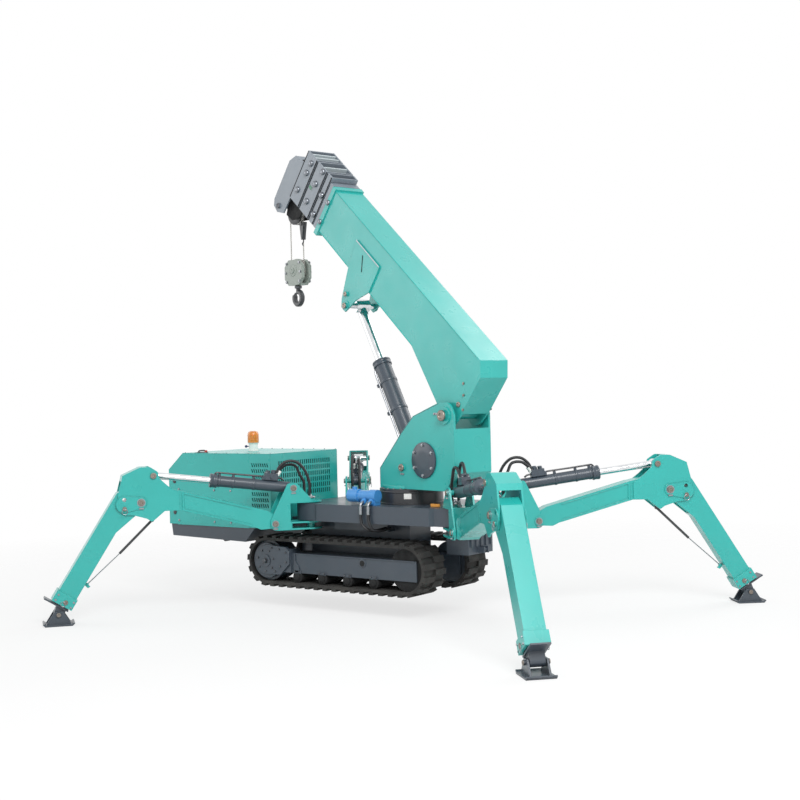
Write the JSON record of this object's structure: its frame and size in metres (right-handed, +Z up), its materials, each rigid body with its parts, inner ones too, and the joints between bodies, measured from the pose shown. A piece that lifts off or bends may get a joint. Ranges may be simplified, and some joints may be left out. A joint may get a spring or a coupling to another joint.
{
  "type": "spider crane",
  "caption": "Compact crawler crane on folding outriggers, with a telescoping boom on a slewing column, a hooded engine and a hook block.",
  "frame": {"origin": "on the ground, midway between the outermost points of the crane as it stands on its outriggers", "axes": "+Z up; +X toward the end with the slewing column, -X toward the engine hood; +Y to the machine's left"},
  "size_m": [4.0734, 3.6588, 3.4062],
  "materials": {
    "teal_paint": "gloss paint over steel plate",
    "dark_paint": "satin dark grey paint",
    "grey_paint": "satin mid grey paint",
    "blue_paint": "gloss blue paint",
    "steel": "bare steel",
    "chrome": "hard chrome rod",
    "rubber": "matte black rubber",
    "amber": "clear amber lens",
    "rope": "stranded wire rope"
  },
  "bodies": {
    "chassis": {"main_frame": "dark_paint", "undercarriage": "dark_paint", "track_right": "rubber", "track_left": "rubber", "hood_side_right": "teal_paint", "hood_side_left": "teal_paint", "hood_cover": "teal_paint", "hood_grille": "teal_paint", "hood_skirt": "dark_paint", "engine": "dark_paint", "beacon": "amber", "beacon_base": "grey_paint", "slew_drive": "dark_paint", "slew_motor": "blue_paint", "front_box": "dark_paint"},
    "front_right_bracket": {"front_right_bracket": "teal_paint"},
    "front_right_arm": {"front_right_arm": "teal_paint"},
    "front_right_leg": {"front_right_leg": "teal_paint"},
    "front_right_stem": {"front_right_stem": "dark_paint"},
    "front_right_foot": {"front_right_foot": "dark_paint"},
    "front_right_barrel": {"front_right_barrel": "dark_paint"},
    "front_right_rod": {"front_right_rod": "chrome"},
    "front_left_bracket": {"front_left_bracket": "teal_paint"},
    "front_left_arm": {"front_left_arm": "teal_paint"},
    "front_left_leg": {"front_left_leg": "teal_paint"},
    "front_left_stem": {"front_left_stem": "dark_paint"},
    "front_left_foot": {"front_left_foot": "dark_paint"},
    "front_left_barrel": {"front_left_barrel": "dark_paint"},
    "front_left_rod": {"front_left_rod": "chrome"},
    "rear_right_bracket": {"rear_right_bracket": "teal_paint"},
    "rear_right_arm": {"rear_right_arm": "teal_paint"},
    "rear_right_leg": {"rear_right_leg": "teal_paint"},
    "rear_right_stem": {"rear_right_stem": "dark_paint"},
    "rear_right_foot": {"rear_right_foot": "dark_paint"},
    "rear_right_barrel": {"rear_right_barrel": "dark_paint"},
    "rear_right_rod": {"rear_right_rod": "chrome"},
    "rear_left_bracket": {"rear_left_bracket": "teal_paint"},
    "rear_left_arm": {"rear_left_arm": "teal_paint"},
    "rear_left_leg": {"rear_left_leg": "teal_paint"},
    "rear_left_stem": {"rear_left_stem": "dark_paint"},
    "rear_left_foot": {"rear_left_foot": "dark_paint"},
    "rear_left_barrel": {"rear_left_barrel": "dark_paint"},
    "rear_left_rod": {"rear_left_rod": "chrome"},
    "column": {"column": "teal_paint"},
    "winch_drum": {"winch_drum": "dark_paint"},
    "boom": {"boom_base": "teal_paint"},
    "boom_section_2": {"boom_section_2": "grey_paint"},
    "boom_section_3": {"boom_section_3": "grey_paint"},
    "boom_section_4": {"boom_section_4": "grey_paint"},
    "boom_section_5": {"boom_section_5": "grey_paint"},
    "lift_barrel": {"lift_barrel": "dark_paint"},
    "lift_rod": {"lift_rod": "chrome"},
    "hoist_falls": {"hoist_falls": "rope"},
    "hook_block": {"hook_block": "grey_paint"},
    "hook": {"hook": "dark_paint"}
  },
  "joints": [
    {"name": "front_right_swing", "type": "hinge", "parent": "chassis", "child": "front_right_bracket", "pos_m": [0.568, -0.265, 0.7], "axis": [0, 0, -1], "range_deg": [-30, 45]},
    {"name": "front_right_lift", "type": "hinge", "parent": "front_right_bracket", "child": "front_right_arm", "pos_m": [0.77459, -0.45102, 0.628], "axis": [-0.6691, -0.7431, 0], "range_deg": [-12, 60]},
    {"name": "front_right_fold", "type": "hinge", "parent": "front_right_arm", "child": "front_right_leg", "pos_m": [1.47389, -1.08067, 0.822], "axis": [0.6691, 0.7431, 0], "range_deg": [0, 100]},
    {"name": "front_right_extend", "type": "slide", "parent": "front_right_leg", "child": "front_right_stem", "axis": [0.3927, -0.3535, -0.849], "range_m": [0, 0.35]},
    {"name": "front_right_foot_tilt", "type": "hinge", "parent": "front_right_stem", "child": "front_right_foot", "pos_m": [1.89897, -1.46341, 0.077], "axis": [-0.6691, -0.7431, 0], "range_deg": [-30, 30]},
    {"name": "front_right_barrel_turn", "type": "hinge", "parent": "front_right_bracket", "child": "front_right_barrel", "pos_m": [0.67278, -0.35935, 0.878], "axis": [-0.6691, -0.7431, 0], "range_deg": [-13, 62]},
    {"name": "front_right_rod_slide", "type": "slide", "parent": "front_right_barrel", "child": "front_right_rod", "axis": [0.7371, -0.6637, 0.1271], "range_m": [-0.285, 0.06]},
    {"name": "front_left_swing", "type": "hinge", "parent": "chassis", "child": "front_left_bracket", "pos_m": [0.568, 0.265, 0.7], "axis": [0, 0, 1], "range_deg": [-30, 45]},
    {"name": "front_left_lift", "type": "hinge", "parent": "front_left_bracket", "child": "front_left_arm", "pos_m": [0.77459, 0.45102, 0.628], "axis": [0.6691, -0.7431, 0], "range_deg": [-12, 60]},
    {"name": "front_left_fold", "type": "hinge", "parent": "front_left_arm", "child": "front_left_leg", "pos_m": [1.47389, 1.08067, 0.822], "axis": [-0.6691, 0.7431, 0], "range_deg": [0, 100]},
    {"name": "front_left_extend", "type": "slide", "parent": "front_left_leg", "child": "front_left_stem", "axis": [0.3927, 0.3535, -0.849], "range_m": [0, 0.35]},
    {"name": "front_left_foot_tilt", "type": "hinge", "parent": "front_left_stem", "child": "front_left_foot", "pos_m": [1.89897, 1.46341, 0.077], "axis": [0.6691, -0.7431, 0], "range_deg": [-30, 30]},
    {"name": "front_left_barrel_turn", "type": "hinge", "parent": "front_left_bracket", "child": "front_left_barrel", "pos_m": [0.67278, 0.35935, 0.878], "axis": [0.6691, -0.7431, 0], "range_deg": [-13, 62]},
    {"name": "front_left_rod_slide", "type": "slide", "parent": "front_left_barrel", "child": "front_left_rod", "axis": [0.7371, 0.6637, 0.1271], "range_m": [-0.285, 0.06]},
    {"name": "rear_right_swing", "type": "hinge", "parent": "chassis", "child": "rear_right_bracket", "pos_m": [-0.696, -0.265, 0.7], "axis": [0, 0, 1], "range_deg": [-10, 35]},
    {"name": "rear_right_lift", "type": "hinge", "parent": "rear_right_bracket", "child": "rear_right_arm", "pos_m": [-0.86408, -0.48644, 0.628], "axis": [-0.7965, 0.6046, 0], "range_deg": [-12, 60]},
    {"name": "rear_right_fold", "type": "hinge", "parent": "rear_right_arm", "child": "rear_right_leg", "pos_m": [-1.43301, -1.23597, 0.822], "axis": [0.7965, -0.6046, 0], "range_deg": [0, 100]},
    {"name": "rear_right_extend", "type": "slide", "parent": "rear_right_leg", "child": "rear_right_stem", "axis": [-0.3195, -0.4209, -0.849], "range_m": [0, 0.35]},
    {"name": "rear_right_foot_tilt", "type": "hinge", "parent": "rear_right_stem", "child": "rear_right_foot", "pos_m": [-1.77884, -1.69158, 0.077], "axis": [-0.7965, 0.6046, 0], "range_deg": [-30, 30]},
    {"name": "rear_right_barrel_turn", "type": "hinge", "parent": "rear_right_bracket", "child": "rear_right_barrel", "pos_m": [-0.78125, -0.37731, 0.878], "axis": [-0.7965, 0.6046, 0], "range_deg": [-13, 62]},
    {"name": "rear_right_rod_slide", "type": "slide", "parent": "rear_right_barrel", "child": "rear_right_rod", "axis": [-0.5997, -0.7901, 0.1271], "range_m": [-0.285, 0.06]},
    {"name": "rear_left_swing", "type": "hinge", "parent": "chassis", "child": "rear_left_bracket", "pos_m": [-0.696, 0.265, 0.7], "axis": [0, 0, -1], "range_deg": [-10, 35]},
    {"name": "rear_left_lift", "type": "hinge", "parent": "rear_left_bracket", "child": "rear_left_arm", "pos_m": [-0.86408, 0.48644, 0.628], "axis": [0.7965, 0.6046, 0], "range_deg": [-12, 60]},
    {"name": "rear_left_fold", "type": "hinge", "parent": "rear_left_arm", "child": "rear_left_leg", "pos_m": [-1.43301, 1.23597, 0.822], "axis": [-0.7965, -0.6046, 0], "range_deg": [0, 100]},
    {"name": "rear_left_extend", "type": "slide", "parent": "rear_left_leg", "child": "rear_left_stem", "axis": [-0.3195, 0.4209, -0.849], "range_m": [0, 0.35]},
    {"name": "rear_left_foot_tilt", "type": "hinge", "parent": "rear_left_stem", "child": "rear_left_foot", "pos_m": [-1.77884, 1.69158, 0.077], "axis": [0.7965, 0.6046, 0], "range_deg": [-30, 30]},
    {"name": "rear_left_barrel_turn", "type": "hinge", "parent": "rear_left_bracket", "child": "rear_left_barrel", "pos_m": [-0.78125, 0.37731, 0.878], "axis": [0.7965, 0.6046, 0], "range_deg": [-13, 62]},
    {"name": "rear_left_rod_slide", "type": "slide", "parent": "rear_left_barrel", "child": "rear_left_rod", "axis": [-0.5997, 0.7901, 0.1271], "range_m": [-0.285, 0.06]},
    {"name": "slew", "type": "hinge", "parent": "chassis", "child": "column", "pos_m": [0.021, 0, 0.874], "axis": [0, 0, 1], "continuous": true},
    {"name": "winch_turn", "type": "hinge", "parent": "column", "child": "winch_drum", "pos_m": [0.35702, -0.08659, 1.08], "axis": [0.2495, 0.9684, 0], "continuous": true},
    {"name": "luff", "type": "hinge", "parent": "column", "child": "boom", "pos_m": [0.56813, -0.14099, 1.385], "axis": [0.2495, 0.9684, 0], "range_deg": [-40.3, 34.7]},
    {"name": "telescope_1", "type": "slide", "parent": "boom", "child": "boom_section_2", "axis": [-0.7385, 0.1903, 0.6468], "range_m": [0, 1.56]},
    {"name": "telescope_2", "type": "slide", "parent": "boom_section_2", "child": "boom_section_3", "axis": [-0.7385, 0.1903, 0.6468], "range_m": [0, 1.56]},
    {"name": "telescope_3", "type": "slide", "parent": "boom_section_3", "child": "boom_section_4", "axis": [-0.7385, 0.1903, 0.6468], "range_m": [0, 1.56]},
    {"name": "telescope_4", "type": "slide", "parent": "boom_section_4", "child": "boom_section_5", "axis": [-0.7385, 0.1903, 0.6468], "range_m": [0, 1.56]},
    {"name": "lift_barrel_turn", "type": "hinge", "parent": "column", "child": "lift_barrel", "pos_m": [0.12462, -0.0267, 1.024], "axis": [0.2495, 0.9684, 0], "range_deg": [-39, 34]},
    {"name": "lift_rod_slide", "type": "slide", "parent": "lift_barrel", "child": "lift_rod", "axis": [-0.4749, 0.1224, 0.8715], "range_m": [-0.386, 0.332]},
    {"name": "falls_hang", "type": "hinge", "parent": "boom_section_5", "child": "hoist_falls", "pos_m": [-1.28905, 0.33758, 2.98261], "axis": [-0.2495, -0.9684, 0], "range_deg": [-41, 35.4]},
    {"name": "hook_swing", "type": "hinge", "parent": "hoist_falls", "child": "hook_block", "pos_m": [-1.28905, 0.33758, 2.52461], "axis": [-0.2495, -0.9684, 0], "range_deg": [-30, 30]},
    {"name": "hook_swivel", "type": "hinge", "parent": "hook_block", "child": "hook", "pos_m": [-1.28905, 0.33758, 2.50961], "axis": [0, 0, 1], "continuous": true}
  ],
  "couplings": [
    {"joint": "front_right_barrel_turn", "follows": "front_right_lift", "ratio": 1.0155},
    {"joint": "front_right_rod_slide", "follows": "front_right_lift", "m_per_rad": -0.2668},
    {"joint": "front_left_barrel_turn", "follows": "front_left_lift", "ratio": 1.0155},
    {"joint": "front_left_rod_slide", "follows": "front_left_lift", "m_per_rad": -0.2668},
    {"joint": "rear_right_barrel_turn", "follows": "rear_right_lift", "ratio": 1.0155},
    {"joint": "rear_right_rod_slide", "follows": "rear_right_lift", "m_per_rad": -0.2668},
    {"joint": "rear_left_barrel_turn", "follows": "rear_left_lift", "ratio": 1.0155},
    {"joint": "rear_left_rod_slide", "follows": "rear_left_lift", "m_per_rad": -0.2668},
    {"joint": "telescope_2", "follows": "telescope_1", "ratio": 1},
    {"joint": "telescope_3", "follows": "telescope_1", "ratio": 1},
    {"joint": "telescope_4", "follows": "telescope_1", "ratio": 1},
    {"joint": "lift_barrel_turn", "follows": "luff", "ratio": 0.9548},
    {"joint": "lift_rod_slide", "follows": "luff", "m_per_rad": 0.5463},
    {"joint": "falls_hang", "follows": "luff", "ratio": 1}
  ]
}
